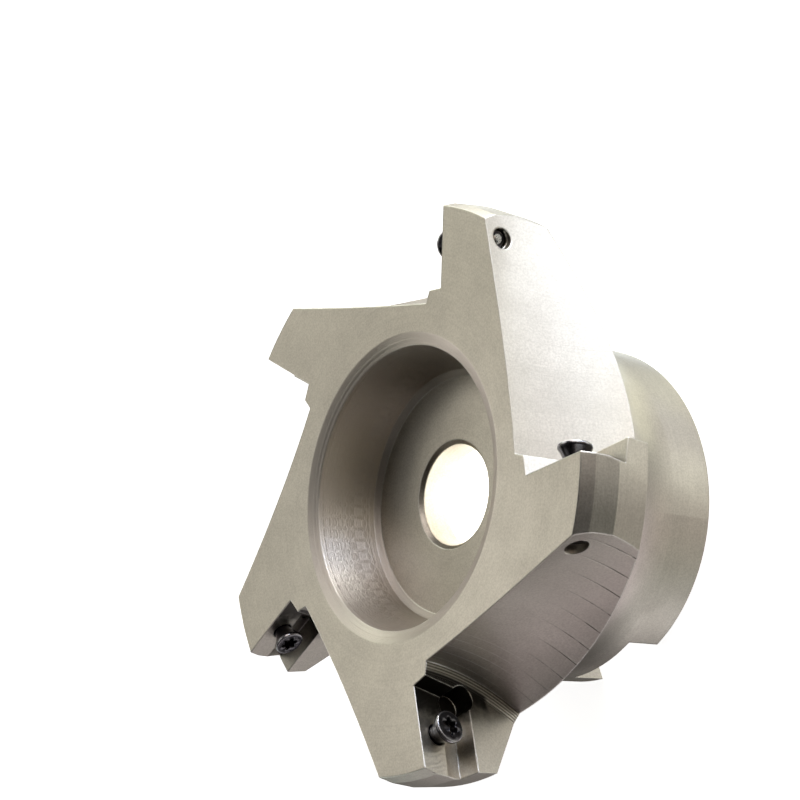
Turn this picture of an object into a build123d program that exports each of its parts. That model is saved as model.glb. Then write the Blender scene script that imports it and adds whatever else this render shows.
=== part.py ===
from build123d import *
from math import cos, hypot, radians, sin, tan
import os

os.makedirs("parts", exist_ok=True)

# Driving dimensions in millimetres and degrees. The cutter axis is Z, the hub's back face
# lies on Z = 0 and the cutting face looks up.
tooth_count = 5
body_height = 47.1
dish_angle = 8.0
land_radius = 49.5
land_length = 5.9
land_round = 1.2
relief_length = 4.1
relief_angle = 9.7
nose_length = 2.2
nose_angle = 22.0
tip_chamfer = 0.4

hub_radius = 31.25
hub_length = 9.0
hub_chamfer = 1.0
back_cone_angle = 50.0

arbor_radius = 16.0
arbor_depth = 25.0
arbor_chamfer = 1.0
web_thickness = 6.2
bolt_hole_radius = 9.0
bolt_hole_chamfer = 0.7

recess_mouth_radius = 24.5
recess_chamfer_width = 2.1
recess_chamfer_depth = 1.1
recess_wall_taper = 12.0
recess_floor_chamfer = 0.9

drive_slot_width = 14.4
drive_slot_depth = 7.0
drive_slot_angle = -58.5

# The seats and tooth faces lean forward by the axial rake, and so does the disc cutter
# that sinks the gullets.
axial_rake = 5.0
seat_angle = 14.0
seat_offset = -6.27
seat_length = 15.7
pocket_depth = 3.66
pocket_draft = 5.0
corner_out = 2.5
corner_down = 7.85
rear_wall_turn = 9.9
inner_wall_turn = 17.6
corner_relief_radius = 2.15
corner_relief_setback = 1.2
corner_relief_depth = 0.8
foot_groove_width = 3.0
foot_groove_depth = 0.45
foot_groove_bow = 0.12

gullet_lean = 0.65
gullet_wall = 4.4
gullet_disc_radius = 37.6
gullet_disc_rise = 2.5
gullet_corner_width = 2.0
gullet_corner_height = 0.8

screw_out = 8.1
screw_down = 2.5
screw_hole_radius = 1.8
screw_clearance = 0.08
screw_head_radius = 2.65
screw_head_rim = 0.7
screw_head_half_angle = 30.0
screw_head_bevel = 0.2
screw_stand = 3.3
screw_tip_recess = 1.4
screw_tip_chamfer = 0.4
socket_radius = 1.6
socket_depth = 1.5

# The pocket at this place in the ring has lost its screw with its insert.
empty_pocket = 2

# How far a cutting shape runs past the face that it opens on.
overrun = 5.0

# Heights, radii and angles that follow from them.
tooth_pitch = 360 / tooth_count
nose_z = body_height - nose_length
relief_z = nose_z - relief_length
land_back_z = relief_z - land_length
relief_radius = land_radius - relief_length * tan(radians(relief_angle))
face_radius = relief_radius - nose_length * tan(radians(nose_angle))
cone_foot_z = land_back_z - (land_radius - hub_radius) / tan(radians(back_cone_angle))
neck_fillet = (cone_foot_z - hub_length) / tan(radians(back_cone_angle / 2))
recess_floor_z = arbor_depth + web_thickness
recess_lip_radius = recess_mouth_radius + recess_chamfer_width
seat_inner = land_radius - seat_length
gullet_floor = recess_lip_radius + gullet_wall


def dish_z(radius):
    """Height of the dished cutting face at a radius."""
    return body_height - (face_radius - radius) * tan(radians(dish_angle))


def raked_plane(angle, out, side, height):
    """Plane of a raked face: X runs outward, Y down the face and Z out of it."""
    outward = Vector(cos(radians(angle)), sin(radians(angle)), 0)
    sideways = Vector(-sin(radians(angle)), cos(radians(angle)), 0)
    up = Vector(0, 0, 1)
    return Plane(
        origin=outward * out + sideways * side + up * height,
        x_dir=outward,
        z_dir=sideways * cos(radians(axial_rake)) - up * sin(radians(axial_rake)),
    )


# The seat plane starts where the pocket's inner wall meets the cutting face.
seat_z = dish_z(hypot(seat_inner, seat_offset))
seat_plane = raked_plane(seat_angle, seat_inner, seat_offset, seat_z)
seat_width = land_radius - seat_inner + overrun

# Cutting shape of one gullet: a large disc cutter with a chamfered corner, whose end is the
# tooth face and whose rim leaves the hollow floor.
gullet_plane = raked_plane(
    seat_angle + gullet_lean,
    gullet_floor + gullet_disc_radius,
    seat_offset + pocket_depth - seat_inner * sin(radians(gullet_lean)),
    body_height + gullet_disc_rise,
)
gullet_far_z = 2 * land_radius

with BuildPart() as gullet_cutter:
    with BuildSketch(Plane(gullet_plane.origin, x_dir=-gullet_plane.x_dir, z_dir=gullet_plane.y_dir)):
        with BuildLine():
            Polyline(
                (0, 0),
                (gullet_disc_radius - gullet_corner_width, 0),
                (gullet_disc_radius, gullet_corner_height),
                (gullet_disc_radius, gullet_far_z),
                (0, gullet_far_z),
                close=True,
            )
        make_face()
    revolve(axis=Axis(gullet_plane.origin, gullet_plane.z_dir))

# Cutting shape of one insert pocket: a drafted corner over the flat seat, a relief hole in the
# corner, a shallow groove at the foot of the rear wall and the screw hole through the tooth.
rear_wall = Vector(cos(radians(rear_wall_turn)), -sin(radians(rear_wall_turn)), 0)
inner_wall = Vector(-sin(radians(inner_wall_turn)), -cos(radians(inner_wall_turn)), 0)
corner = Vector(corner_out, corner_down, 0)
relief_centre = corner + (rear_wall + inner_wall).normalized() * corner_relief_setback
groove_start = corner + rear_wall * (relief_centre - corner).dot(rear_wall)
inner_length = corner_down / cos(radians(inner_wall_turn)) + overrun
screw_plane = seat_plane.shift_origin(seat_plane.from_local_coords((screw_out, screw_down, 0)))
groove_plane = Plane(
    origin=seat_plane.from_local_coords(groove_start),
    x_dir=seat_plane.from_local_coords(Vector(rear_wall.Y, -rear_wall.X, 0)) - seat_plane.origin,
    z_dir=seat_plane.from_local_coords(rear_wall) - seat_plane.origin,
)

# The screw hole ends on the floor of the gullet behind the tooth.
back_angle = radians(tooth_pitch - gullet_lean)
screw_distance = seat_inner + screw_out
tooth_thickness = (
    gullet_floor - screw_distance * cos(back_angle)
) / sin(back_angle) + seat_offset
screw_hole_length = tooth_thickness / cos(radians(axial_rake))

with BuildPart() as pocket_cutter:
    with BuildSketch(seat_plane):
        with BuildLine():
            Polyline(
                corner,
                corner + rear_wall * seat_width,
                corner + rear_wall * seat_width + inner_wall * inner_length,
                corner + inner_wall * inner_length,
                close=True,
            )
        make_face()
    extrude(amount=pocket_depth + overrun, taper=-pocket_draft)
    with BuildSketch(seat_plane.offset(-corner_relief_depth)):
        with Locations(relief_centre):
            Circle(corner_relief_radius)
    extrude(amount=corner_relief_depth + pocket_depth + overrun)
    with BuildSketch(groove_plane):
        with BuildLine():
            Polyline((foot_groove_width, 0), (0, 0), (0, foot_groove_depth))
            ThreePointArc(
                (0, foot_groove_depth),
                (foot_groove_width / 2, foot_groove_depth / 2 + foot_groove_bow),
                (foot_groove_width, 0),
            )
        make_face()
    extrude(amount=seat_width)
    with BuildSketch(screw_plane):
        Circle(screw_hole_radius)
    extrude(amount=-(screw_hole_length + overrun))

# Cutter body, turned all over and then milled.
with BuildPart() as mill_body:
    with BuildSketch(Plane.XZ) as blank:
        with BuildLine():
            Polyline(
                (0, 0),
                (hub_radius, 0),
                (hub_radius, cone_foot_z),
                (land_radius, land_back_z),
                (land_radius, relief_z),
                (relief_radius, nose_z),
                (face_radius, body_height),
                (0, dish_z(0)),
                close=True,
            )
        make_face()
        corners = blank.vertices()
        fillet(corners.sort_by_distance((hub_radius, cone_foot_z))[0], radius=neck_fillet)
        fillet(corners.sort_by_distance((land_radius, land_back_z))[0], radius=land_round)
        chamfer(corners.sort_by_distance((face_radius, body_height))[0], length=tip_chamfer)
        chamfer(corners.sort_by_distance((hub_radius, 0))[0], length=hub_chamfer)
    revolve(axis=Axis.Z)

    # Front recess for the arbor bolt's head, with a drafted wall and a chamfered mouth.
    lip_z = dish_z(recess_lip_radius)
    mouth_z = lip_z - recess_chamfer_depth
    floor_radius = recess_mouth_radius - (mouth_z - recess_floor_z) * tan(radians(recess_wall_taper))
    with BuildSketch(Plane.XZ) as recess:
        with BuildLine():
            Polyline(
                (0, recess_floor_z),
                (floor_radius, recess_floor_z),
                (recess_mouth_radius, mouth_z),
                (recess_lip_radius, lip_z),
                (recess_lip_radius, body_height + overrun),
                (0, body_height + overrun),
                close=True,
            )
        make_face()
        recess_corner = recess.vertices().sort_by_distance((floor_radius, recess_floor_z))[0]
        chamfer(recess_corner, length=recess_floor_chamfer)
    revolve(axis=Axis.Z, mode=Mode.SUBTRACT)

    # Arbor bore from the back and the bolt hole through the web.
    with BuildSketch(Plane.XZ):
        with BuildLine():
            Polyline(
                (0, 0),
                (arbor_radius + arbor_chamfer, 0),
                (arbor_radius, arbor_chamfer),
                (arbor_radius, arbor_depth),
                (bolt_hole_radius, arbor_depth),
                (bolt_hole_radius, recess_floor_z - bolt_hole_chamfer),
                (bolt_hole_radius + bolt_hole_chamfer, recess_floor_z),
                (0, recess_floor_z),
                close=True,
            )
        make_face()
    revolve(axis=Axis.Z, mode=Mode.SUBTRACT)

    # Drive slot across the back face.
    with BuildSketch(Plane.XY.rotated((0, 0, drive_slot_angle))):
        Rectangle(2 * (hub_radius + overrun), drive_slot_width)
    extrude(amount=drive_slot_depth, mode=Mode.SUBTRACT)

    with PolarLocations(0, tooth_count):
        add(gullet_cutter.part, mode=Mode.SUBTRACT)
        add(pocket_cutter.part, mode=Mode.SUBTRACT)

mill_body.part.label = "mill_body"
export_step(mill_body.part, "parts/mill_body.step")

# Insert screw about its own axis, with the seat at its Z = 0.
shank_radius = screw_hole_radius - screw_clearance
cone_height = (screw_head_radius - shank_radius) / tan(radians(screw_head_half_angle))
shank_end = screw_tip_recess - screw_hole_length

with BuildPart() as insert_screw:
    with BuildSketch(Plane.XZ) as screw_profile:
        with BuildLine():
            Polyline(
                (0, shank_end),
                (shank_radius, shank_end),
                (shank_radius, screw_stand - screw_head_rim - cone_height),
                (screw_head_radius, screw_stand - screw_head_rim),
                (screw_head_radius, screw_stand),
                (0, screw_stand),
                close=True,
            )
        make_face()
        screw_corners = screw_profile.vertices()
        chamfer(
            screw_corners.sort_by_distance((shank_radius, shank_end))[0], length=screw_tip_chamfer
        )
        chamfer(
            screw_corners.sort_by_distance((screw_head_radius, screw_stand))[0],
            length=screw_head_bevel,
        )
    revolve(axis=Axis.Z)
    with BuildSketch(Plane.XY.offset(screw_stand)):
        RegularPolygon(radius=socket_radius, side_count=6)
    extrude(amount=-socket_depth, mode=Mode.SUBTRACT)

# One screw in each pocket but the empty one.
with BuildPart() as insert_screws:
    with PolarLocations(
        0,
        tooth_count - 1,
        start_angle=(empty_pocket + 1) * tooth_pitch,
        angular_range=360 - tooth_pitch,
    ):
        with Locations(screw_plane.location):
            add(insert_screw.part)

insert_screws.part.label = "insert_screws"
export_step(insert_screws.part, "parts/insert_screws.step")
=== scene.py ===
"""Dresses the indexable face mill: satin steel body, black insert screws, thread turns and a pale stage."""

from math import cos, pi, radians, sin, tan

import bmesh
import bpy
from bpy.props import FloatProperty, FloatVectorProperty, IntProperty, PointerProperty
from mathutils import Matrix, Vector


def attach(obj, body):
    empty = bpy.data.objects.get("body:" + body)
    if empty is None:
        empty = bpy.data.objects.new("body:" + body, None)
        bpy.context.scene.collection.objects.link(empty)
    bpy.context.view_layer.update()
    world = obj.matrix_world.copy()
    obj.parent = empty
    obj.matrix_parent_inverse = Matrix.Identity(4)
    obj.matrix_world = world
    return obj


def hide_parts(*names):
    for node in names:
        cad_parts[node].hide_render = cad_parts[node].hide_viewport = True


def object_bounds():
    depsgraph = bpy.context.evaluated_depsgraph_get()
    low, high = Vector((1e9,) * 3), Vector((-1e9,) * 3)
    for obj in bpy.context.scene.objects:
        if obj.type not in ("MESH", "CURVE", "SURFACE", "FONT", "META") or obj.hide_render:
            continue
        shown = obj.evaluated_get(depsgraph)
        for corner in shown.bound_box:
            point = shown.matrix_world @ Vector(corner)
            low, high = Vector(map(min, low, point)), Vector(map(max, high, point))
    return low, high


bl_info = {
    "name": "Indexable Face Mill",
    "version": (1, 0, 0),
    "blender": (4, 5, 0),
    "location": "View3D > Sidebar > Face Mill",
    "description": "Finishes a five-tooth face mill body and fits its insert screws",
    "category": "Object",
}

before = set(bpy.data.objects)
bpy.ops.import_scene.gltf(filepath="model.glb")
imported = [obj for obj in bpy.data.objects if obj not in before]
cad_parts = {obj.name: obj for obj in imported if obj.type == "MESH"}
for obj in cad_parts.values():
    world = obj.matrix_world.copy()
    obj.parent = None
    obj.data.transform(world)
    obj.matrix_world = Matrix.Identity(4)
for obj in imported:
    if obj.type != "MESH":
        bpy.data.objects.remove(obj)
cad_low, cad_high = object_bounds()

MM = 0.001
TURN = 2 * pi

# Shapes that the patterns on the steel follow, with lengths in millimetres
GROOVES_PER_MM = 50.0
BACK_CONE_SLOPE = 0.85
FACET_SLOPE = 0.4
FACET_WIDTH = 2.0
FACET_PITCH = 0.42
LIP_RADIUS = 30.6
FACE_DISH = radians(8.0)

# Where a tooth's share of the round begins, measured from the tooth's own middle
STEEL_TOOTH_START = radians(-6.0)
SCREW_TOOTH_START = radians(-40.0)

SCREW_SEGMENTS = 72


# Sizes and colours that a user would change

def length(name, millimetres, description):
    """A length property, given in millimetres and kept in metres."""
    return FloatProperty(
        name=name, default=millimetres * MM, min=0.0, unit="LENGTH", precision=5, description=description
    )


def angle(name, degrees, description):
    """An angle property, given in degrees."""
    return FloatProperty(name=name, default=radians(degrees), subtype="ANGLE", description=description)


def share(name, value, description):
    """A share from 0 to 1."""
    return FloatProperty(name=name, default=value, min=0.0, max=1.0, subtype="FACTOR", description=description)


def colour(name, value, description):
    """A colour without alpha."""
    return FloatVectorProperty(
        name=name, default=value, size=3, min=0.0, max=1.0, subtype="COLOR", description=description
    )


class CutterSizes(bpy.types.PropertyGroup):
    """Where the teeth, seats and gullets of the cutter lie."""

    tooth_count: IntProperty(name="Teeth", default=5, min=2, description="Teeth round the cutter")
    empty_pocket: IntProperty(
        name="Empty pocket", default=2, min=0, description="The pocket that has lost its screw"
    )
    axial_rake: angle("Axial rake", 5.0, "How far the seats and gullets lean forward")
    seat_angle: angle("Seat angle", 14.0, "Direction in which the first seat runs outward")
    seat_side: length("Seat offset", 6.27, "How far the seat lies behind the cutter's middle")
    seat_inner: length("Seat start", 33.8, "Where the seat starts from the axis")
    seat_height: length("Seat height", 45.198, "Height of the seat's inner corner over the back face")
    pocket_depth: length("Pocket depth", 3.66, "Depth of a pocket in its tooth face")
    gullet_lean: angle("Gullet lean", 0.65, "Turn of the gullet's disc against the seat")
    gullet_floor: length("Gullet floor", 31.0, "Distance of the gullet's floor from the axis")
    gullet_radius: length("Gullet radius", 37.6, "Radius of the disc that sank the gullet")
    gullet_rise: length("Gullet rise", 2.5, "Height of the disc's centre over the cutter")
    bore_radius: length("Bore radius", 26.6, "Radius within which the surfaces are turned smooth")
    bore_floor: length("Bore floor", 31.2, "Height of the front recess's floor over the back face")
    mark_pitch: length("Mark pitch", 3.93, "Spacing of the tool marks in a gullet")
    mark_width: length("Mark half width", 0.2, "Half the width of one tool mark")


class ScrewSizes(bpy.types.PropertyGroup):
    """Sizes of one insert screw and the hole that it stands in."""

    out: length("Out from seat start", 8.1, "Place of the screw along the seat")
    down: length("Down from seat edge", 2.5, "Place of the screw down the seat")
    head_radius: length("Head radius", 2.65, "Radius of the screw's head")
    head_rim: length("Head rim", 0.7, "Height of the straight rim of the head")
    head_half_angle: angle("Cone half angle", 30.0, "Half angle of the cone under the head")
    stand: length("Stand", 3.3, "Height of the head's top over the seat")
    shank_radius: length("Shank radius", 1.72, "Radius over the screw's thread")
    thread_depth: length("Thread depth", 0.24, "Depth of the screw's thread")
    thread_pitch: length("Thread pitch", 0.6, "Pitch of the screw's thread")
    reach: length("Reach", 10.95, "Length of the screw below the seat")
    socket_radius: length("Socket radius", 1.3, "Mean radius of the six-lobe socket")
    socket_lobe: length("Socket lobe", 0.26, "How far the lobes leave the mean radius")
    socket_depth: length("Socket depth", 1.5, "Depth of the socket")
    hole_radius: length("Hole radius", 1.8, "Radius of the screw holes")
    hole_end: length("Hole end", 0.6, "Length of open hole beyond the screw's end")
    hole_thread: length("Hole thread", 0.15, "How far a hole's thread stands into it")


class SteelFinish(bpy.types.PropertyGroup):
    """Finish of the cutter's steel."""

    base: colour("Steel", (0.63, 0.595, 0.525), "Colour of the plated steel")
    shade: colour("Shaded grain", (0.45, 0.42, 0.365), "Colour of the darker grain")
    # Worn edges, made lighter partly as a painted highlight along them
    worn_and_highlight: colour("Worn edge", (0.86, 0.84, 0.79), "Colour where edges are rubbed bright")
    mark: colour("Tool mark", (0.06, 0.05, 0.04), "Colour in the tool marks")
    # Oil and soot, and painted shade laid in the pockets that lie in shade
    soot_and_shade: colour("Soot and shade", (0.02, 0.018, 0.016), "Colour of the oil and soot in the pockets")
    roughness: share("Roughness", 0.38, "Roughness of the satin surface")
    bored: share("Bored roughness", 0.36, "Roughness of the smoothly bored surfaces")
    groove_tilt: FloatProperty(
        name="Groove tilt", default=1.6, min=0.0, description="Steepness of the fine turning grooves"
    )
    bright: colour("Bored steel", (0.56, 0.51, 0.46), "Colour of the recess's turned wall")


class ScrewFinish(bpy.types.PropertyGroup):
    """Finish of the insert screws."""

    base: colour("Black oxide", (0.05, 0.047, 0.052), "Colour of the blackened steel")
    # Rubbed edges and rim, made lighter partly as painted highlight
    worn_and_highlight: colour("Rubbed edge", (0.50, 0.49, 0.50), "Colour where the black is rubbed thin")
    # Bare cut end, near white partly as a painted highlight
    bare_and_highlight: colour("Bare end", (0.95, 0.95, 0.94), "Colour of the bright cut end")
    roughness: share("Roughness", 0.18, "Roughness of the oiled oxide")


class StageSettings(bpy.types.PropertyGroup):
    """Floor and camera of the studio."""

    floor: colour("Floor", (0.93, 0.93, 0.925), "Colour of the plain floor")
    floor_size: FloatProperty(
        name="Floor size", default=3.0, min=0.5, unit="LENGTH", description="Width of the floor"
    )
    focal: FloatProperty(
        name="Focal length", default=61.5, min=10.0, unit="CAMERA", description="Focal length of the camera"
    )


# Node tree helpers

class Nodes:
    """Adds and links nodes in one tree."""

    def __init__(self, tree):
        self.tree = tree

    def add(self, kind, inputs=None, **settings):
        node = self.tree.nodes.new(kind)
        for key, value in settings.items():
            setattr(node, key, value)
        for key, value in (inputs or {}).items():
            self.feed(node.inputs[key], value)
        return node

    def feed(self, socket, value):
        """Links a socket, or sets it where value is a plain number or colour."""
        if isinstance(value, bpy.types.NodeSocket):
            self.tree.links.new(value, socket)
        else:
            socket.default_value = value

    def math(self, operation, *values, clamp=False):
        node = self.add("ShaderNodeMath", operation=operation, use_clamp=clamp)
        for socket, value in zip(node.inputs, values):
            self.feed(socket, value)
        return node.outputs[0]

    def product(self, first, *others):
        """All the values multiplied."""
        for value in others:
            first = self.math("MULTIPLY", first, value)
        return first

    def weighted(self, start, *parts):
        """The start value and each part, given as (value, weight), added up."""
        for value, weight in parts:
            start = self.math("MULTIPLY_ADD", value, weight, start)
        return start

    def vector(self, operation, *values):
        node = self.add("ShaderNodeVectorMath", operation=operation)
        for socket, value in zip(node.inputs, values):
            self.feed(socket, value)
        single = operation in ("DOT_PRODUCT", "LENGTH", "DISTANCE")
        return node.outputs["Value" if single else "Vector"]

    def scaled(self, value, factor):
        node = self.add("ShaderNodeVectorMath", {0: value, "Scale": factor}, operation="SCALE")
        return node.outputs["Vector"]

    def mixed(self, factor, a, b):
        node = self.add("ShaderNodeMix", {0: factor, 6: a, 7: b}, data_type="RGBA")
        return node.outputs[2]

    def ramp(self, value, low, high, to_low=0.0, to_high=1.0):
        """Smooth step of value from low to high, which falls with the value where low is the larger."""
        node = self.add(
            "ShaderNodeMapRange",
            {"Value": value, "From Min": low, "From Max": high, "To Min": to_low, "To Max": to_high},
            interpolation_type="SMOOTHSTEP",
        )
        return node.outputs["Result"]

    def noise(self, position, scale, detail=2.0, roughness=0.5, dimensions="3D"):
        node = self.add(
            "ShaderNodeTexNoise",
            {"Vector": position, "Scale": scale, "Detail": detail, "Roughness": roughness},
            noise_dimensions=dimensions,
        )
        return node.outputs["Fac"]

    def split(self, vector):
        return self.add("ShaderNodeSeparateXYZ", {"Vector": vector}).outputs

    def join(self, x=0.0, y=0.0, z=0.0):
        return self.add("ShaderNodeCombineXYZ", {"X": x, "Y": y, "Z": z}).outputs["Vector"]

    def off_axis(self, position):
        """Distance from the vertical axis."""
        return self.vector("LENGTH", self.vector("MULTIPLY", position, (1.0, 1.0, 0.0)))


def new_group(name, inputs, outputs):
    """A shader node group with its sockets: (name, type, default) and (name, type)."""
    tree = bpy.data.node_groups.new(name, "ShaderNodeTree")
    for label, kind, default in inputs:
        socket = tree.interface.new_socket(name=label, in_out="INPUT", socket_type="NodeSocket" + kind)
        if default is not None:
            socket.default_value = default
    for label, kind in outputs:
        tree.interface.new_socket(name=label, in_out="OUTPUT", socket_type="NodeSocket" + kind)
    nodes = Nodes(tree)
    given = nodes.add("NodeGroupInput").outputs
    result = nodes.add("NodeGroupOutput").inputs
    return nodes, given, result


def placed(nodes, name, build, inputs):
    """Outputs of a shader node group put into a material, built the first time that it is asked for."""
    tree = bpy.data.node_groups.get(name) or build(name)
    return nodes.add("ShaderNodeGroup", inputs, node_tree=tree).outputs


def build_grain(name):
    """Fine blasted grain with slow mottling. Position is in millimetres."""
    nodes, given, result = new_group(
        name,
        [("Position", "Vector", None), ("Grain size", "Float", 0.3), ("Mottle size", "Float", 6.0)],
        [("Grain", "Float"), ("Mottle", "Float"), ("Speck", "Float")],
    )
    position = given["Position"]
    fine = nodes.noise(position, nodes.math("DIVIDE", 1.0, given["Grain size"]), 3.0, 0.65)
    coarse = nodes.noise(position, nodes.math("DIVIDE", 1.0, given["Mottle size"]), 4.0, 0.6)
    cells = nodes.add(
        "ShaderNodeTexVoronoi",
        {"Vector": position, "Scale": nodes.math("DIVIDE", 0.55, given["Grain size"])},
        feature="F1",
    )
    nodes.feed(result["Grain"], fine)
    nodes.feed(result["Mottle"], nodes.ramp(coarse, 0.3, 0.7))
    nodes.feed(result["Speck"], nodes.ramp(cells.outputs["Distance"], 0.28, 0.0))
    return nodes.tree


def build_rings(name):
    """Fine turning rings about the cutter's axis, and masks of the recess. Position is in millimetres."""
    nodes, given, result = new_group(
        name,
        [
            ("Position", "Vector", None),
            ("Normal", "Vector", None),
            ("Spacing", "Float", 0.35),
            ("Groove tilt", "Float", 1.0),
            ("Bore radius", "Float", 26.6),
            ("Bore floor", "Float", 31.2),
        ],
        [("Height", "Float"), ("Inside", "Float"), ("Wall", "Float"), ("Normal", "Vector")],
    )
    x, y, z = nodes.split(given["Position"])
    radius = nodes.off_axis(given["Position"])
    profile = nodes.join(radius, z)
    rings = nodes.noise(profile, nodes.math("DIVIDE", 1.0, given["Spacing"]), 3.0, 0.6, "2D")
    nodes.feed(result["Height"], rings)
    inside = nodes.ramp(nodes.math("SUBTRACT", radius, given["Bore radius"]), 0.0, -0.1)
    nodes.feed(result["Inside"], inside)
    wall = nodes.product(inside, nodes.ramp(nodes.math("SUBTRACT", z, given["Bore floor"]), 0.05, 0.15))
    nodes.feed(result["Wall"], wall)
    # The grooves run round, so they tilt the surface in the plane of the axis and spread light across them.
    outward = nodes.vector("ADD", nodes.vector("NORMALIZE", nodes.join(x, y)), (0.0, 0.0, -0.5))
    round_way = nodes.vector("CROSS_PRODUCT", given["Normal"], outward)
    across = nodes.vector("NORMALIZE", nodes.vector("CROSS_PRODUCT", round_way, given["Normal"]))
    groove = nodes.math("SUBTRACT", nodes.noise(profile, GROOVES_PER_MM, 0.0, 0.5, "2D"), 0.5)
    tilt = nodes.product(groove, given["Groove tilt"], wall)
    tilted = nodes.vector("ADD", given["Normal"], nodes.scaled(across, tilt))
    nodes.feed(result["Normal"], nodes.vector("NORMALIZE", tilted))
    return nodes.tree


def build_edge_rub_and_highlight(name):
    """Rounded normals and a mask along the outer edges."""
    nodes, given, result = new_group(
        name,
        [("Radius", "Float", 0.36 * MM), ("Amount", "Float", 1.0), ("Breakup", "Float", 0.5)],
        [("Mask", "Float"), ("Normal", "Vector")],
    )
    rounded = nodes.add("ShaderNodeBevel", {"Radius": given["Radius"]}, samples=6).outputs["Normal"]
    flat = nodes.add("ShaderNodeNewGeometry").outputs["Normal"]
    bent = nodes.math("SUBTRACT", 1.0, nodes.vector("DOT_PRODUCT", rounded, flat))
    broken = nodes.product(nodes.ramp(bent, 0.01, 0.12), nodes.ramp(given["Breakup"], 0.2, 0.6, 0.45, 1.0))
    nodes.feed(result["Mask"], nodes.math("MULTIPLY", broken, given["Amount"], clamp=True))
    nodes.feed(result["Normal"], rounded)
    return nodes.tree


def seat_frame():
    """Matrix from a seat's own directions (out, down, off the seat) to its place on an unturned tooth."""
    sizes = bpy.context.scene.cutter_sizes
    rake = sizes.axial_rake
    out = Vector((1, 0, 0))
    off = Vector((0, cos(rake), -sin(rake)))
    turn = Matrix((out, off.cross(out), off)).transposed().to_4x4()
    return Matrix.Translation((sizes.seat_inner, -sizes.seat_side, sizes.seat_height)) @ turn


def build_tooth_frame(name):
    """The position turned back to the first tooth and measured from its seat: out, down and off it.

    Position is in millimetres, and Start is where a tooth's share of the round begins, from its own middle.
    """
    sizes = bpy.context.scene.cutter_sizes
    nodes, given, result = new_group(
        name,
        [("Position", "Vector", None), ("Start", "Float", 0.0)],
        [("Turned", "Vector"), ("From seat", "Vector"), ("Tooth", "Float")],
    )
    pitch = TURN / sizes.tooth_count
    x, y, z = nodes.split(given["Position"])
    around = nodes.math("SUBTRACT", nodes.math("ARCTAN2", y, x), given["Start"])
    tooth = nodes.math("FLOOR", nodes.math("DIVIDE", around, pitch))
    turn = nodes.math("MULTIPLY_ADD", tooth, -pitch, -sizes.seat_angle)
    back = nodes.add(
        "ShaderNodeVectorRotate", {"Vector": given["Position"], "Angle": turn}, rotation_type="Z_AXIS"
    )
    turned = back.outputs["Vector"]
    seat = seat_frame()
    local = nodes.vector("SUBTRACT", turned, tuple(seat.translation / MM))
    out, down, off = (nodes.vector("DOT_PRODUCT", local, tuple(axis[:3])) for axis in seat.transposed()[:3])
    nodes.feed(result["Turned"], turned)
    nodes.feed(result["From seat"], nodes.join(out, down, off))
    nodes.feed(result["Tooth"], tooth)
    return nodes.tree


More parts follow.
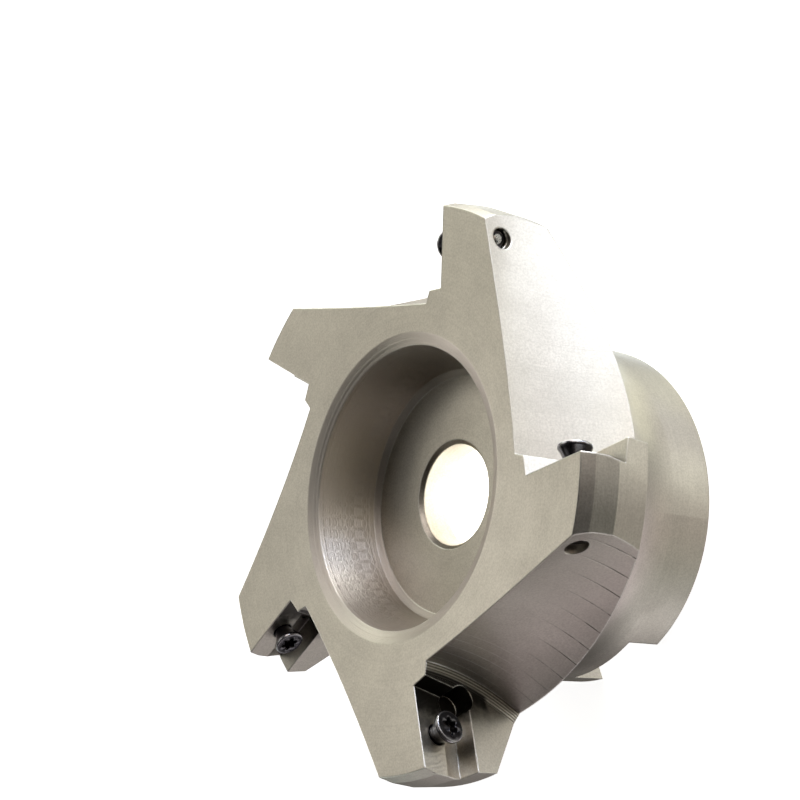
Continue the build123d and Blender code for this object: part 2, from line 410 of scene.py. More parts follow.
def build_gullet_marks(name):
    """Marks of the disc cutter: dark steps and rubbed lines on a gullet's floor, fine lines on its facet.

    Turned is the position in millimetres, turned back to the first tooth, where the disc's axis leans by
    the gullet's lean and the axial rake.
    """
    sizes = bpy.context.scene.cutter_sizes
    nodes, given, result = new_group(
        name,
        [
            ("Turned", "Vector", None),
            ("Tooth", "Float", 0.0),
            ("Pitch", "Float", 3.93),
            ("Width", "Float", 0.2),
        ],
        [("Line", "Float"), ("Ridge", "Float"), ("Band", "Float"), ("Floor", "Float"), ("Scratch", "Float")],
    )
    lean = sizes.gullet_lean
    rake = sizes.axial_rake
    outward = Vector((cos(lean), sin(lean), 0.0))
    sideways = Vector((-sin(lean), cos(lean), 0.0))
    along = sideways * cos(rake) - Vector((0, 0, 1)) * sin(rake)
    centre = outward * (sizes.gullet_floor + sizes.gullet_radius)
    side = sizes.pocket_depth - sizes.seat_side - sizes.seat_inner * sin(lean)
    centre = (centre + sideways * side + Vector((0, 0, cad_high.z + sizes.gullet_rise))) / MM
    disc_radius = sizes.gullet_radius / MM
    facet_depth = FACET_SLOPE * FACET_WIDTH

    # Depth runs along the disc's axis from the tooth face, and distance is measured from that axis.
    position = given["Turned"]
    local = nodes.vector("SUBTRACT", position, tuple(centre))
    depth = nodes.vector("DOT_PRODUCT", local, tuple(along))
    square = nodes.vector("DOT_PRODUCT", local, local)
    distance = nodes.math("SQRT", nodes.math("SUBTRACT", square, nodes.product(depth, depth)))
    # The gullet's rear edge lies on the cutter's back cone, so the height over that cone is even along it.
    radius = nodes.off_axis(position)
    over_cone = nodes.math("MULTIPLY_ADD", radius, -BACK_CONE_SLOPE, nodes.split(position)["Z"])

    def near(value, place):
        """A mask of where a value in millimetres is as large as another."""
        return nodes.ramp(nodes.math("ABSOLUTE", nodes.math("SUBTRACT", value, place)), 0.12, 0.05)

    def lines(value, pitch, width):
        """Lines of that half width at every pitch of a value."""
        return nodes.ramp(nodes.math("PINGPONG", value, nodes.product(pitch, 0.5)), width, 0.0)

    floor = nodes.product(near(distance, disc_radius), nodes.ramp(depth, facet_depth - 0.2, facet_depth))
    # The steps show more in some gullets than in others, and break up along their way.
    swing = nodes.product(nodes.math("ADD", given["Tooth"], 1.0), TURN / sizes.tooth_count)
    cut_share = nodes.ramp(nodes.math("COSINE", swing), 0.3, 1.0, 0.06, 1.0)
    strength = nodes.product(floor, nodes.ramp(nodes.noise(position, 0.45), 0.3, 0.55, 0.35, 1.0), cut_share)
    waver = nodes.noise(position, 0.12, 1.0)
    shifted = nodes.math("ADD", nodes.math("MULTIPLY_ADD", waver, 0.12, -0.5), depth)

    # The steps are cut sharp at the gullet's rear, where the disc ran out, and fade towards its front.
    steps = nodes.product(
        lines(shifted, given["Pitch"], given["Width"]),
        strength,
        nodes.ramp(over_cone, 6.5, -5.5),
        nodes.ramp(depth, 6.0, 18.0, 0.35, 1.0),
    )
    # Closer lines, rubbed bright, run beside the tooth face at the front.
    rubs = nodes.product(
        lines(shifted, nodes.product(given["Pitch"], 0.5), nodes.product(given["Width"], 0.8)),
        strength,
        nodes.ramp(depth, 14.0, 6.0),
        nodes.ramp(over_cone, -4.0, 11.0),
    )
    # The disc's chamfered corner leaves fine lines on the narrow facet along the tooth face.
    rise = nodes.math("MULTIPLY_ADD", distance, FACET_SLOPE, FACET_SLOPE * (FACET_WIDTH - disc_radius))
    facet = nodes.product(
        near(depth, rise),
        nodes.ramp(depth, -0.05, 0.0),
        nodes.ramp(depth, facet_depth + 0.05, facet_depth),
        nodes.ramp(radius, LIP_RADIUS - 0.6, LIP_RADIUS),
    )
    fine_lines = nodes.product(lines(distance, FACET_PITCH, FACET_PITCH / 2), facet)
    between = nodes.product(nodes.math("SUBTRACT", facet, fine_lines), 0.5)
    nodes.feed(result["Line"], nodes.math("MAXIMUM", steps, nodes.product(fine_lines, 0.75)))
    nodes.feed(result["Ridge"], nodes.math("MAXIMUM", rubs, between))
    # Each strip between two steps has a tone of its own.
    strip = nodes.math("FLOOR", nodes.math("DIVIDE", shifted, given["Pitch"]))
    tone = nodes.add("ShaderNodeTexWhiteNoise", {"W": strip}, noise_dimensions="1D").outputs["Value"]
    nodes.feed(result["Band"], nodes.product(tone, floor))
    nodes.feed(result["Floor"], floor)
    fine = nodes.noise(nodes.join(depth, distance), 5.0, dimensions="2D")
    nodes.feed(result["Scratch"], nodes.product(fine, floor))
    return nodes.tree


def build_seat_marks_and_shade(name):
    """Swirled marks of a small end mill on a pocket's seat, and the darkening in the pocket's inner corner,
    partly oil and soot and partly painted shade.

    From seat is in millimetres, and Length is how far out the seat runs.
    """
    sizes = bpy.context.scene.cutter_sizes
    nodes, given, result = new_group(
        name,
        [("From seat", "Vector", None), ("Length", "Float", 15.7), ("Tooth", "Float", 0.0)],
        [("Soot and shade", "Float"), ("Swirl", "Float")],
    )
    place = given["From seat"]
    out, down, off = nodes.split(place)
    seat = nodes.product(
        nodes.ramp(nodes.math("ABSOLUTE", off), 0.09, 0.03),
        nodes.ramp(out, -1.0, -0.8),
        nodes.ramp(out, nodes.math("ADD", given["Length"], 0.2), given["Length"]),
    )
    warped = nodes.noise(place, 0.35, 1.0)
    sweep = nodes.weighted(0.0, (out, 2.4), (warped, 6.0), (nodes.product(down, down), 0.16))
    nodes.feed(result["Swirl"], nodes.product(nodes.math("SINE", nodes.product(sweep, 3.0)), seat))
    # Painted shade, partly oil and soot: the inner corners of the two neighbouring pockets that lie in shade
    # are darkened, below the dished front face.
    # Each limit is a value, where it is light and where it is dark.
    cloud = nodes.noise(place, 0.5, 3.0)
    under_face = nodes.weighted(down, (out, tan(FACE_DISH)), (off, tan(sizes.axial_rake)))
    swing = nodes.product(nodes.math("ADD", given["Tooth"], 1.5), TURN / sizes.tooth_count)
    soot_and_shade = nodes.ramp(nodes.math("COSINE", swing), 0.0, 0.7)
    for value, light_side, dark_side in (
        (nodes.weighted(out, (cloud, -4.0)), 5.5, 1.2),
        (out, -3.2, -2.8),
        (off, 3.65, 3.45),
        (off, -3.0, -2.0),
        (down, 12.5, 11.5),
        (under_face, 0.08, 0.25),
    ):
        soot_and_shade = nodes.product(soot_and_shade, nodes.ramp(value, light_side, dark_side))
    nodes.feed(result["Soot and shade"], soot_and_shade)
    return nodes.tree


# Materials

def new_material(name):
    """An empty material with its Principled shader."""
    material = bpy.data.materials.new(name)
    material.use_nodes = True
    material.node_tree.nodes.clear()
    nodes = Nodes(material.node_tree)
    shader = nodes.add("ShaderNodeBsdfPrincipled")
    output = nodes.add("ShaderNodeOutputMaterial")
    nodes.feed(output.inputs["Surface"], shader.outputs["BSDF"])
    return material, nodes, shader


def millimetres(nodes):
    """Object coordinates in millimetres."""
    return nodes.scaled(nodes.add("ShaderNodeTexCoord").outputs["Object"], 1 / MM)


def steel_material():
    """Plated steel: fine grain, turning rings, tool marks in the gullets and seats, oil and soot with painted
    shade in the pockets, and worn edges made lighter partly as painted highlight.
    """
    finish = bpy.context.scene.steel_finish
    sizes = bpy.context.scene.cutter_sizes
    material, nodes, shader = new_material("cutter_steel")
    position = millimetres(nodes)
    grain = placed(
        nodes, "fine_grain", build_grain, {"Position": position, "Grain size": 0.34, "Mottle size": 7.0}
    )
    wear_and_highlight = placed(
        nodes, "edge_rub_and_highlight", build_edge_rub_and_highlight, {"Radius": 0.36 * MM, "Amount": 0.95, "Breakup": grain["Mottle"]}
    )
    rings = placed(
        nodes,
        "turning_rings",
        build_rings,
        {
            "Position": position,
            "Normal": wear_and_highlight["Normal"],
            "Spacing": 0.35,
            "Groove tilt": finish.groove_tilt,
            "Bore radius": sizes.bore_radius / MM,
            "Bore floor": sizes.bore_floor / MM,
        },
    )
    # A gullet runs on over the start of the next tooth, so the pattern changes teeth behind the seat.
    tooth = placed(nodes, "tooth_frame", build_tooth_frame, {"Position": position, "Start": STEEL_TOOTH_START})
    marks = placed(
        nodes,
        "gullet_marks",
        build_gullet_marks,
        {
            "Turned": tooth["Turned"],
            "Tooth": tooth["Tooth"],
            "Pitch": sizes.mark_pitch / MM,
            "Width": sizes.mark_width / MM,
        },
    )
    milled_and_shaded = placed(
        nodes, "seat_marks_and_shade", build_seat_marks_and_shade, {"From seat": tooth["From seat"], "Tooth": tooth["Tooth"]}
    )

    grained = nodes.ramp(grain["Grain"], 0.32, 0.68)
    tone = nodes.weighted(-0.25, (grained, 0.55), (grain["Mottle"], 0.25), (rings["Height"], 0.5))
    base = nodes.mixed(tone, (*finish.base, 1.0), (*finish.shade, 1.0))
    for mask, strength, over in (
        (rings["Wall"], 0.8, finish.bright),
        (marks["Band"], 0.22, finish.shade),
        (marks["Line"], 0.95, finish.mark),
        (marks["Ridge"], 0.75, finish.worn_and_highlight),
        # Soot and shade: partly painted shade in the pockets' inner corners
        (milled_and_shaded["Soot and shade"], 0.92, finish.soot_and_shade),
        # Worn edges, lighter partly as painted highlight
        (wear_and_highlight["Mask"], 1.0, finish.worn_and_highlight),
    ):
        base = nodes.mixed(nodes.product(mask, strength), base, (*over, 1.0))
    nodes.feed(shader.inputs["Base Color"], base)

    rough = nodes.weighted(
        finish.roughness,
        (rings["Inside"], finish.bored - finish.roughness),
        (grain["Mottle"], 0.06),
        (grain["Speck"], 0.10),
        (wear_and_highlight["Mask"], -0.12),
    )
    nodes.feed(shader.inputs["Roughness"], nodes.math("ADD", rough, 0.0, clamp=True))
    shader.inputs["Metallic"].default_value = 1.0

    # The rings are faint on the recess's wall and missing on the gullets' floors.
    turned = nodes.weighted(1.0, (marks["Floor"], -1.0), (rings["Wall"], -0.8))
    height = nodes.weighted(
        0.0,
        (nodes.product(turned, rings["Height"]), 0.35),
        (marks["Scratch"], 0.3),
        (grain["Grain"], 0.6),
        (marks["Line"], -2.2),
        (milled_and_shaded["Swirl"], 0.25),
    )
    bump = nodes.add(
        "ShaderNodeBump",
        {"Strength": 0.55, "Distance": 0.04 * MM, "Height": height, "Normal": rings["Normal"]},
    )
    nodes.feed(shader.inputs["Normal"], bump.outputs["Normal"])
    return material


def screw_material():
    """Black oxide over steel, oiled, rubbed thin along the edges and bare at the cut end; the rubbed edges, the
    rim and the cut end are made lighter partly as painted highlights.
    """
    finish = bpy.context.scene.screw_finish
    sizes = bpy.context.scene.screw_sizes
    material, nodes, shader = new_material("screw_black")
    position = millimetres(nodes)
    grain = placed(
        nodes, "fine_grain", build_grain, {"Position": position, "Grain size": 0.16, "Mottle size": 1.6}
    )
    wear_and_highlight = placed(
        nodes, "edge_rub_and_highlight", build_edge_rub_and_highlight, {"Radius": 0.14 * MM, "Amount": 0.9, "Breakup": grain["Mottle"]}
    )
    tooth = placed(nodes, "tooth_frame", build_tooth_frame, {"Position": position, "Start": SCREW_TOOTH_START})
    reach = sizes.reach / MM
    head = sizes.head_radius / MM
    top = sizes.stand / MM
    from_axis = nodes.vector("SUBTRACT", tooth["From seat"], (sizes.out / MM, sizes.down / MM, 0.0))
    along = nodes.split(from_axis)["Z"]
    across = nodes.off_axis(from_axis)
    # The cut end is bare steel, made near white partly as a painted highlight.
    end = nodes.product(nodes.ramp(along, 0.12 - reach, -reach), nodes.ramp(across, 0.9, 0.75))
    # The head's rounded rim is rubbed by the inserts, and made lighter partly as a painted highlight.
    rim = nodes.product(
        nodes.ramp(across, head - 0.34, head - 0.12),
        nodes.ramp(along, top - 0.55, top - 0.3),
        nodes.ramp(grain["Mottle"], 0.0, 1.0, 0.5, 1.0),
    )
    # Rubbed edges and rim: partly wear, partly painted highlight
    rub_and_highlight = nodes.math("MAXIMUM", nodes.product(wear_and_highlight["Mask"], 0.8), rim)
    base = nodes.mixed(rub_and_highlight, (*finish.base, 1.0), (*finish.worn_and_highlight, 1.0))
    nodes.feed(shader.inputs["Base Color"], nodes.mixed(end, base, (*finish.bare_and_highlight, 1.0)))
    nodes.feed(shader.inputs["Roughness"], nodes.weighted(finish.roughness, (grain["Grain"], 0.14)))
    nodes.feed(shader.inputs["Metallic"], nodes.weighted(0.9, (end, 0.1)))
    shader.inputs["Coat Weight"].default_value = 0.6
    shader.inputs["Coat Roughness"].default_value = 0.12
    shader.inputs["Specular IOR Level"].default_value = 0.6
    bump = nodes.add(
        "ShaderNodeBump",
        {"Strength": 0.35, "Distance": 0.02 * MM, "Height": grain["Grain"], "Normal": wear_and_highlight["Normal"]},
    )
    nodes.feed(shader.inputs["Normal"], bump.outputs["Normal"])
    return material


def floor_material():
    """Plain pale floor that glows a little, so that it reads white as the photograph's ground does."""
    stage = bpy.context.scene.stage_settings
    material, nodes, shader = new_material("pale_floor")
    cloud = nodes.ramp(nodes.noise(millimetres(nodes), 0.004), 0.3, 0.7, 0.0, 0.04)
    base = nodes.mixed(cloud, (*stage.floor, 1.0), (*CLOUDED_FLOOR, 1.0))
    nodes.feed(shader.inputs["Base Color"], base)
    shader.inputs["Roughness"].default_value = 0.9
    shader.inputs["Specular IOR Level"].default_value = 0.1
    shader.inputs["Emission Color"].default_value = (1.0, 1.0, 1.0, 1.0)
    shader.inputs["Emission Strength"].default_value = 0.85
    return material


# Meshes

def ring_stack(name, rings):
    """A closed mesh from rings of points with one count, and a point at each end."""
    mesh = bpy.data.meshes.new(name)
    work = bmesh.new()
    first, *middle, last = rings
    start = work.verts.new(first)
    rows = [[work.verts.new(point) for point in ring] for ring in middle]
    end = work.verts.new(last)
    count = len(rows[0])
    for i in range(count):
        j = (i + 1) % count
        work.faces.new((start, rows[0][j], rows[0][i]))
        work.faces.new((end, rows[-1][i], rows[-1][j]))
        for low, high in zip(rows, rows[1:]):
            work.faces.new((low[i], low[j], high[j], high[i]))
    work.to_mesh(mesh)
    work.free()
    return mesh


def screw_mesh():
    """One insert screw about its own axis, with its seat at height 0."""
    sizes = bpy.context.scene.screw_sizes
    angles = [TURN * i / SCREW_SEGMENTS for i in range(SCREW_SEGMENTS)]
    minor = sizes.shank_radius - sizes.thread_depth
    neck = sizes.shank_radius - 0.3 * sizes.thread_depth
    cone = (sizes.head_radius - neck) / tan(sizes.head_half_angle)
    rim_low = sizes.stand - sizes.head_rim
    thread_end = -1.6 * sizes.thread_pitch
    lead = 0.7 * sizes.thread_pitch
    tip = sizes.thread_depth
    soft = 0.05 * MM
    bevel = 0.28 * MM
    mouth = sizes.socket_radius + 0.12 * MM
    socket_floor = sizes.stand - sizes.socket_depth

    def ring(z, radius_at):
        """Points round the axis at one height, as far out as radius_at gives for their angle."""
        return [Vector((radius_at(a) * cos(a), radius_at(a) * sin(a), z)) for a in angles]

    def circle(radius, z):
        return ring(z, lambda a: radius)

    def lobed(radius, z):
        return ring(z, lambda a: radius + sizes.socket_lobe * cos(6 * a))

    def threaded(z):
        """A ring of the helical ridge, which rises and ends over the lead."""
        ease = max(0.0, min(1.0, (z + sizes.reach) / lead, (thread_end - z) / lead))

        def radius_at(a):
            phase = (z / sizes.thread_pitch - a / TURN) % 1.0
            ridge = min(1.0, max(0.0, 1.35 - abs(phase - 0.5) * 3.2))
            return minor + sizes.thread_depth * ridge * ease

        return ring(z, radius_at)

    rings = [Vector((0, 0, -sizes.reach)), circle(minor - tip, -sizes.reach)]
    steps = round((thread_end + sizes.reach - tip) / (sizes.thread_pitch / 8))
    for i in range(steps + 1):
        rings.append(threaded(-sizes.reach + tip + (thread_end + sizes.reach - tip) * i / steps))
    rings += [
        circle(minor, thread_end + 0.1 * MM),
        circle(neck, thread_end + 0.3 * MM),
        circle(neck, rim_low - cone),
        circle(sizes.head_radius - soft, rim_low - soft),
        circle(sizes.head_radius, rim_low + soft),
    ]
    for i in range(5):
        turn = pi / 2 * i / 4
        rings.append(circle(sizes.head_radius - bevel * (1 - cos(turn)), sizes.stand - bevel * (1 - sin(turn))))
    rings += [
        lobed(mouth + 0.1 * MM, sizes.stand),
        lobed(mouth, sizes.stand - 0.03 * MM),
        lobed(sizes.socket_radius, sizes.stand - 0.14 * MM),
        lobed(sizes.socket_radius, socket_floor + 0.1 * MM),
        circle(sizes.socket_radius - sizes.socket_lobe - 0.1 * MM, socket_floor),
        Vector((0, 0, socket_floor - 0.25 * MM)),
    ]
    return ring_stack("insert_screw", rings)


def screw_place():
    """Matrix from a screw's own axis to its place on an unturned tooth."""
    screw = bpy.context.scene.screw_sizes
    return seat_frame() @ Matrix.Translation((screw.out, screw.down, 0.0))


# Geometry Nodes

def new_geometry_tree(name, inputs):
    """A Geometry Nodes tree with its inputs, given as (name, type)."""
    tree = bpy.data.node_groups.new(name, "GeometryNodeTree")
    for label, kind in inputs:
        tree.interface.new_socket(name=label, in_out="INPUT", socket_type="NodeSocket" + kind)
    tree.interface.new_socket(name="Geometry", in_out="OUTPUT", socket_type="NodeSocketGeometry")
    nodes = Nodes(tree)
    return nodes, nodes.add("NodeGroupInput").outputs


def end_geometry_tree(nodes, geometry, material):
    """Ends a tree with real geometry that carries the material."""
    real = nodes.add("GeometryNodeRealizeInstances", {"Geometry": geometry})
    coated = nodes.add("GeometryNodeSetMaterial", {"Geometry": real.outputs["Geometry"], "Material": material})
    nodes.add("NodeGroupOutput", {"Geometry": coated.outputs["Geometry"]})
    return nodes.tree


def ring_tree():
    """Copies an object round the cutter's axis, one copy for each tooth from the first."""
    nodes, given = new_geometry_tree(
        "ring_of_copies",
        (
            ("Piece", "Object"),
            ("Count", "Int"),
            ("First angle", "Float"),
            ("Step angle", "Float"),
            ("Material", "Material"),
        ),
    )
    piece = nodes.add("GeometryNodeObjectInfo", {"Object": given["Piece"]})
    points = nodes.add("GeometryNodePoints", {"Count": given["Count"]})
    index = nodes.add("GeometryNodeInputIndex").outputs["Index"]
    turn = nodes.weighted(given["First angle"], (index, given["Step angle"]))
    copies = nodes.add(
        "GeometryNodeInstanceOnPoints",
        {
            "Points": points.outputs[0],
            "Instance": piece.outputs["Geometry"],
            "Rotation": nodes.join(z=turn),
        },
    )
    return end_geometry_tree(nodes, copies.outputs["Instances"], given["Material"])


def thread_tree():
    """A helical ridge about the vertical axis, rising from the ground."""
    nodes, given = new_geometry_tree(
        "hole_thread",
        (
            ("Turns", "Float"),
            ("Pitch", "Float"),
            ("Radius", "Float"),
            ("Depth", "Float"),
            ("Material", "Material"),
        ),
    )
    spiral = nodes.add(
        "GeometryNodeCurveSpiral",
        {
            "Resolution": 36,
            "Rotations": given["Turns"],
            "Start Radius": given["Radius"],
            "End Radius": given["Radius"],
            "Height": nodes.product(given["Turns"], given["Pitch"]),
        },
    )
    upright = nodes.add("GeometryNodeSetCurveNormal", {"Curve": spiral.outputs["Curve"]}, mode="Z_UP")
    section = nodes.add("GeometryNodeCurvePrimitiveCircle", {"Resolution": 4, "Radius": given["Depth"]})
    ridge = nodes.add(
        "GeometryNodeCurveToMesh",
        {"Curve": upright.outputs["Curve"], "Profile Curve": section.outputs["Curve"], "Fill Caps": True},
    )
    return end_geometry_tree(nodes, ridge.outputs["Mesh"], given["Material"])


def grown(name, tree, inputs):
    """The plain mesh object that a Geometry Nodes tree gives for these inputs."""
    seed = bpy.data.objects.new(name + "_seed", bpy.data.meshes.new(name + "_seed"))
    bpy.context.scene.collection.objects.link(seed)
    modifier = seed.modifiers.new(tree.name, "NODES")
    modifier.node_group = tree
    sockets = {item.name: item.identifier for item in tree.interface.items_tree if item.in_out == "INPUT"}
    for key, value in inputs.items():
        modifier[sockets[key]] = value
    bpy.context.view_layer.update()
    result = seed.evaluated_get(bpy.context.evaluated_depsgraph_get())
    mesh = bpy.data.meshes.new_from_object(result)
    seed.modifiers.clear()
    bpy.data.objects.remove(seed)
    mesh.name = name
    piece = bpy.data.objects.new(name, mesh)
    bpy.context.scene.collection.objects.link(piece)
    return piece


def round_cutter(name, single, first, count, material):
    """Copies of an object, made for an unturned tooth, at so many teeth from the first one given."""
    sizes = bpy.context.scene.cutter_sizes
    step = TURN / sizes.tooth_count
    bpy.context.scene.collection.objects.link(single)
    inputs = {
        "Piece": single,
        "Count": count,
        "First angle": sizes.seat_angle + first * step,
        "Step angle": step,
        "Material": material,
    }
    copies = grown(name, ring_tree(), inputs)
    bpy.data.objects.remove(single)
    return copies


def smooth(mesh, sharpest=35.0):
    """Smooth shading that keeps edges sharper than an angle."""
    mesh.shade_smooth()
    work = bmesh.new()
    work.from_mesh(mesh)
    for edge in work.edges:
        edge.smooth = len(edge.link_faces) == 2 and edge.calc_face_angle(pi) < radians(sharpest)
    work.to_mesh(mesh)
    work.free()


# Operators

class FACEMILL_OT_body(bpy.types.Operator):
    """Gives the cutter body its satin steel with tool marks"""

    bl_idname = "facemill.body"
    bl_label = "Finish Cutter Body"

    def execute(self, context):
        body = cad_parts["mill_body"]
        steel = steel_material()
        for slot in body.material_slots:
            slot.material = steel
        return {"FINISHED"}


class FACEMILL_OT_screws(bpy.types.Operator):
    """Builds the threaded insert screws with their six-lobe sockets"""

    bl_idname = "facemill.screws"
    bl_label = "Fit Insert Screws"

    def execute(self, context):
        sizes = context.scene.cutter_sizes
        mesh = screw_mesh()
        smooth(mesh)
        mesh.transform(screw_place())
        single = bpy.data.objects.new("screw_master", mesh)
        first = sizes.empty_pocket + 1
        count = sizes.tooth_count - 1
        screws = round_cutter("insert_screw_set", single, first, count, screw_material())
        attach(screws, "root")
        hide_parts("insert_screws")
        return {"FINISHED"}


class FACEMILL_OT_threads(bpy.types.Operator):
    """Cuts the thread turns: all of the empty hole, and the open ends of the others"""

    bl_idname = "facemill.threads"
    bl_label = "Thread Screw Holes"

    def execute(self, context):
        sizes = context.scene.cutter_sizes
        screw = context.scene.screw_sizes
        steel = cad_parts["mill_body"].material_slots[0].material
        end = screw.reach + screw.hole_end
        for name, first, count, length_cut in (
            ("empty_hole_thread", sizes.empty_pocket, 1, end - screw.thread_pitch),
            ("hole_end_threads", sizes.empty_pocket + 1, sizes.tooth_count - 1, screw.hole_end - 0.05 * MM),
        ):
            inputs = {
                "Turns": length_cut / screw.thread_pitch,
                "Pitch": screw.thread_pitch,
                "Radius": screw.hole_radius,
                "Depth": screw.hole_thread,
                "Material": steel,
            }
            spiral = grown(name + "_turn", thread_tree(), inputs)
            spiral.data.transform(screw_place() @ Matrix.Translation((0.0, 0.0, -end)))
            context.scene.collection.objects.unlink(spiral)
            piece = round_cutter(name, spiral, first, count, steel)
            smooth(piece.data)
            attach(piece, "root")
        return {"FINISHED"}


class FACEMILL_OT_stage(bpy.types.Operator):
    """Lays the pale floor and sets the soft lights and the camera"""

    bl_idname = "facemill.stage"
    bl_label = "Set Stage"

    def execute(self, context):
        half = context.scene.stage_settings.floor_size / 2
        low = cad_low.z - FLOOR_GAP
        corners = [(-half, -half, low), (half, -half, low), (half, half, low), (-half, half, low)]
        mesh = bpy.data.meshes.new("floor")
        mesh.from_pydata(corners, [], [(0, 1, 2, 3)])
        mesh.materials.append(floor_material())
        floor = bpy.data.objects.new("floor", mesh)
        context.scene.collection.objects.link(floor)
        floor.visible_glossy = False
        floor.visible_shadow = False
        studio_world(context.scene)
        for light in STUDIO_LIGHTS:
            soft_light(*light)
        bore_glow()
        photo_camera(context.scene)
        context.scene.view_settings.view_transform = "Standard"
        context.scene.view_settings.look = "None"
        return {"FINISHED"}


# Stage

# The photograph's camera: its place in metres, and the directions of the picture's right and upper side.
CAMERA_PLACE = Vector((0.1877, -0.0126, 0.1817))
PICTURE_RIGHT = Vector((0.59602, 0.10778, -0.79570))
PICTURE_UP = Vector((0.03116, 0.98710, 0.15704))
TOWARDS_CAMERA = PICTURE_RIGHT.cross(PICTURE_UP)
PICTURE_SHIFT = -0.00375
MIDDLE = Vector((0.0, 0.0, 0.024))

CLOUDED_FLOOR = (0.85, 0.85, 0.84)
FLOOR_GAP = 0.2 * MM
GLOW_WIDTH = 0.031
GLOW_POWER = 0.014
GLOW_HEIGHT = 0.4 * MM
LIGHT_DISTANCE = 0.8
LIGHT_SIZE = 0.38

# Each soft light: direction as the camera sees it (right, up, near), power in watts, colour.
STUDIO_LIGHTS = (
    ((0.18, 0.98, 0.00), 6.00, (1.00, 1.00, 0.98)),
    ((0.29, 0.88, 0.37), 3.38, (0.68, 0.79, 1.00)),
    ((0.66, 0.72, 0.24), 1.48, (0.83, 0.89, 1.00)),
    ((0.03, 0.92, -0.40), 1.42, (0.94, 1.00, 0.94)),
    ((-0.30, 0.75, -0.59), 1.18, (1.00, 0.92, 0.89)),
    ((-0.70, 0.58, -0.41), 0.91, (0.93, 1.00, 0.85)),
    ((0.21, 0.22, -0.95), 0.89, (0.89, 0.97, 1.00)),
    ((-0.23, 0.95, 0.21), 0.88, (1.00, 0.90, 0.84)),
    ((-0.16, 0.78, 0.60), 0.81, (1.00, 0.91, 0.87)),
    ((-0.79, -0.12, -0.61), 0.78, (1.00, 0.96, 0.93)),
    ((0.54, -0.05, -0.84), 0.70, (0.88, 0.90, 1.00)),
    ((-0.91, 0.42, 0.04), 0.67, (1.00, 0.97, 0.94)),
    ((0.95, 0.28, 0.13), 0.65, (1.00, 1.00, 0.91)),
    ((0.65, 0.38, -0.65), 0.65, (1.00, 1.00, 0.82)),
    ((0.53, -0.85, 0.03), 0.65, (1.00, 0.97, 0.99)),
    ((0.24, 0.62, 0.75), 0.60, (1.00, 0.93, 0.78)),
    ((-0.41, -0.82, -0.41), 0.52, (0.90, 1.00, 0.96)),
    ((0.76, -0.32, -0.57), 0.42, (1.00, 0.88, 0.96)),
    ((0.18, -0.95, 0.26), 0.35, (1.00, 0.85, 0.92)),
    ((-0.75, -0.55, -0.36), 0.32, (0.99, 1.00, 0.90)),
    ((0.78, -0.58, -0.24), 0.32, (1.00, 1.00, 0.99)),
    ((0.99, -0.15, -0.08), 0.29, (1.00, 0.86, 0.79)),
    ((0.06, -0.92, -0.40), 0.28, (1.00, 0.94, 0.95)),
    ((-0.94, 0.15, -0.30), 0.26, (1.00, 0.96, 0.79)),
    ((0.68, 0.45, 0.58), 0.25, (1.00, 0.76, 0.58)),
    ((-0.97, -0.02, 0.25), 0.23, (1.00, 1.00, 0.96)),
    ((0.88, -0.42, 0.24), 0.23, (0.96, 1.00, 0.86)),
    ((0.82, 0.55, -0.18), 0.23, (1.00, 0.90, 0.85)),
    ((0.90, 0.12, -0.42), 0.17, (0.99, 1.00, 0.93)),
    ((-0.52, 0.85, -0.09), 0.16, (0.93, 0.97, 1.00)),
    ((-0.18, -0.98, -0.04), 0.15, (1.00, 0.91, 0.95)),
)


def put_light(name, shape, size, power, place, tint=(1.0, 1.0, 1.0)):
    """An area light at a place, facing the middle of the cutter."""
    data = bpy.data.lights.new(name, "AREA")
    data.shape = shape
    data.size = size
    data.energy = power
    data.color = tint
    light = bpy.data.objects.new(name, data)
    turn = (place - MIDDLE).to_track_quat("Z", "Y").to_matrix().to_4x4()
    light.matrix_world = Matrix.Translation(place) @ turn
    bpy.context.scene.collection.objects.link(light)


def soft_light(direction, power, tint):
    """A soft square light that faces the cutter from a direction as the camera sees it."""
    right, up, near = direction
    towards = (PICTURE_RIGHT * right + PICTURE_UP * up + TOWARDS_CAMERA * near).normalized()
    put_light("soft_light", "SQUARE", LIGHT_SIZE, power, MIDDLE + towards * LIGHT_DISTANCE, tint)


def bore_glow():
    """A small lamp at the back end of the arbor bore, so that the through hole reads white."""
    put_light("bore_glow", "DISK", GLOW_WIDTH, GLOW_POWER, Vector((0.0, 0.0, GLOW_HEIGHT)))


def studio_world(scene):
    """White to the camera and black to everything else, so that only the lamps and the floor give light."""
    world = bpy.data.worlds.new("studio")
    scene.world = world
    world.use_nodes = True
    world.node_tree.nodes.clear()
    nodes = Nodes(world.node_tree)
    camera_ray = nodes.add("ShaderNodeLightPath").outputs["Is Camera Ray"]
    white = nodes.add("ShaderNodeBackground", {"Color": (1.0, 1.0, 1.0, 1.0), "Strength": camera_ray})
    nodes.add("ShaderNodeOutputWorld", {"Surface": white.outputs["Background"]})


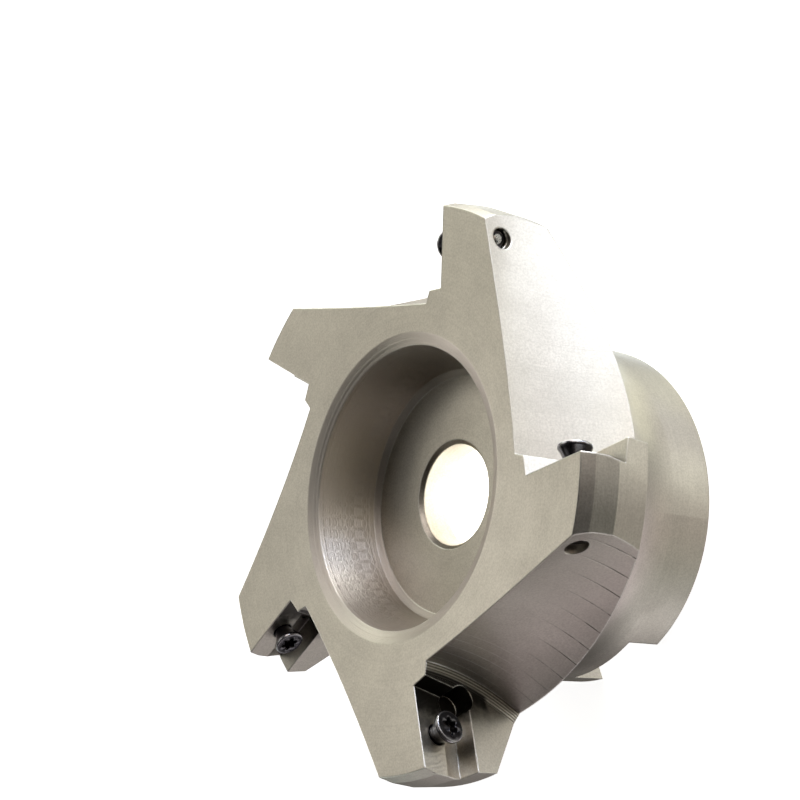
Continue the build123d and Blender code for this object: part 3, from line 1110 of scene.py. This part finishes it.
def photo_camera(scene):
    """The camera at the photograph's place and angle."""
    data = bpy.data.cameras.new("photo_camera")
    data.lens = scene.stage_settings.focal
    data.sensor_width = 36.0
    data.clip_start = 0.01
    data.shift_y = PICTURE_SHIFT
    camera = bpy.data.objects.new("photo_camera", data)
    turn = Matrix((PICTURE_RIGHT, PICTURE_UP, TOWARDS_CAMERA)).transposed().to_4x4()
    camera.matrix_world = Matrix.Translation(CAMERA_PLACE) @ turn
    scene.collection.objects.link(camera)
    scene.camera = camera


# Add-on

class FACEMILL_PT_panel(bpy.types.Panel):
    """Lists the steps that dress the face mill"""

    bl_idname = "FACEMILL_PT_panel"
    bl_label = "Face Mill"
    bl_space_type = "VIEW_3D"
    bl_region_type = "UI"
    bl_category = "Face Mill"

    def draw(self, context):
        for operator in OPERATORS:
            self.layout.operator(operator.bl_idname)
        for group_name in SETTINGS:
            settings = getattr(context.scene, group_name)
            box = self.layout.box()
            for key in settings.__annotations__:
                box.prop(settings, key)


OPERATORS = (FACEMILL_OT_body, FACEMILL_OT_screws, FACEMILL_OT_threads, FACEMILL_OT_stage)
SETTINGS = {
    "cutter_sizes": CutterSizes,
    "screw_sizes": ScrewSizes,
    "steel_finish": SteelFinish,
    "screw_finish": ScrewFinish,
    "stage_settings": StageSettings,
}


def register():
    for settings in SETTINGS.values():
        bpy.utils.register_class(settings)
    for operator in OPERATORS:
        bpy.utils.register_class(operator)
    bpy.utils.register_class(FACEMILL_PT_panel)
    for name, settings in SETTINGS.items():
        setattr(bpy.types.Scene, name, PointerProperty(type=settings))


def unregister():
    for name in SETTINGS:
        delattr(bpy.types.Scene, name)
    bpy.utils.unregister_class(FACEMILL_PT_panel)
    for operator in reversed(OPERATORS):
        bpy.utils.unregister_class(operator)
    for settings in reversed(SETTINGS.values()):
        bpy.utils.unregister_class(settings)


def main():
    """Runs every step in order."""
    register()
    bpy.ops.facemill.body()
    bpy.ops.facemill.screws()
    bpy.ops.facemill.threads()
    bpy.ops.facemill.stage()


if __name__ == "__main__":
    main()
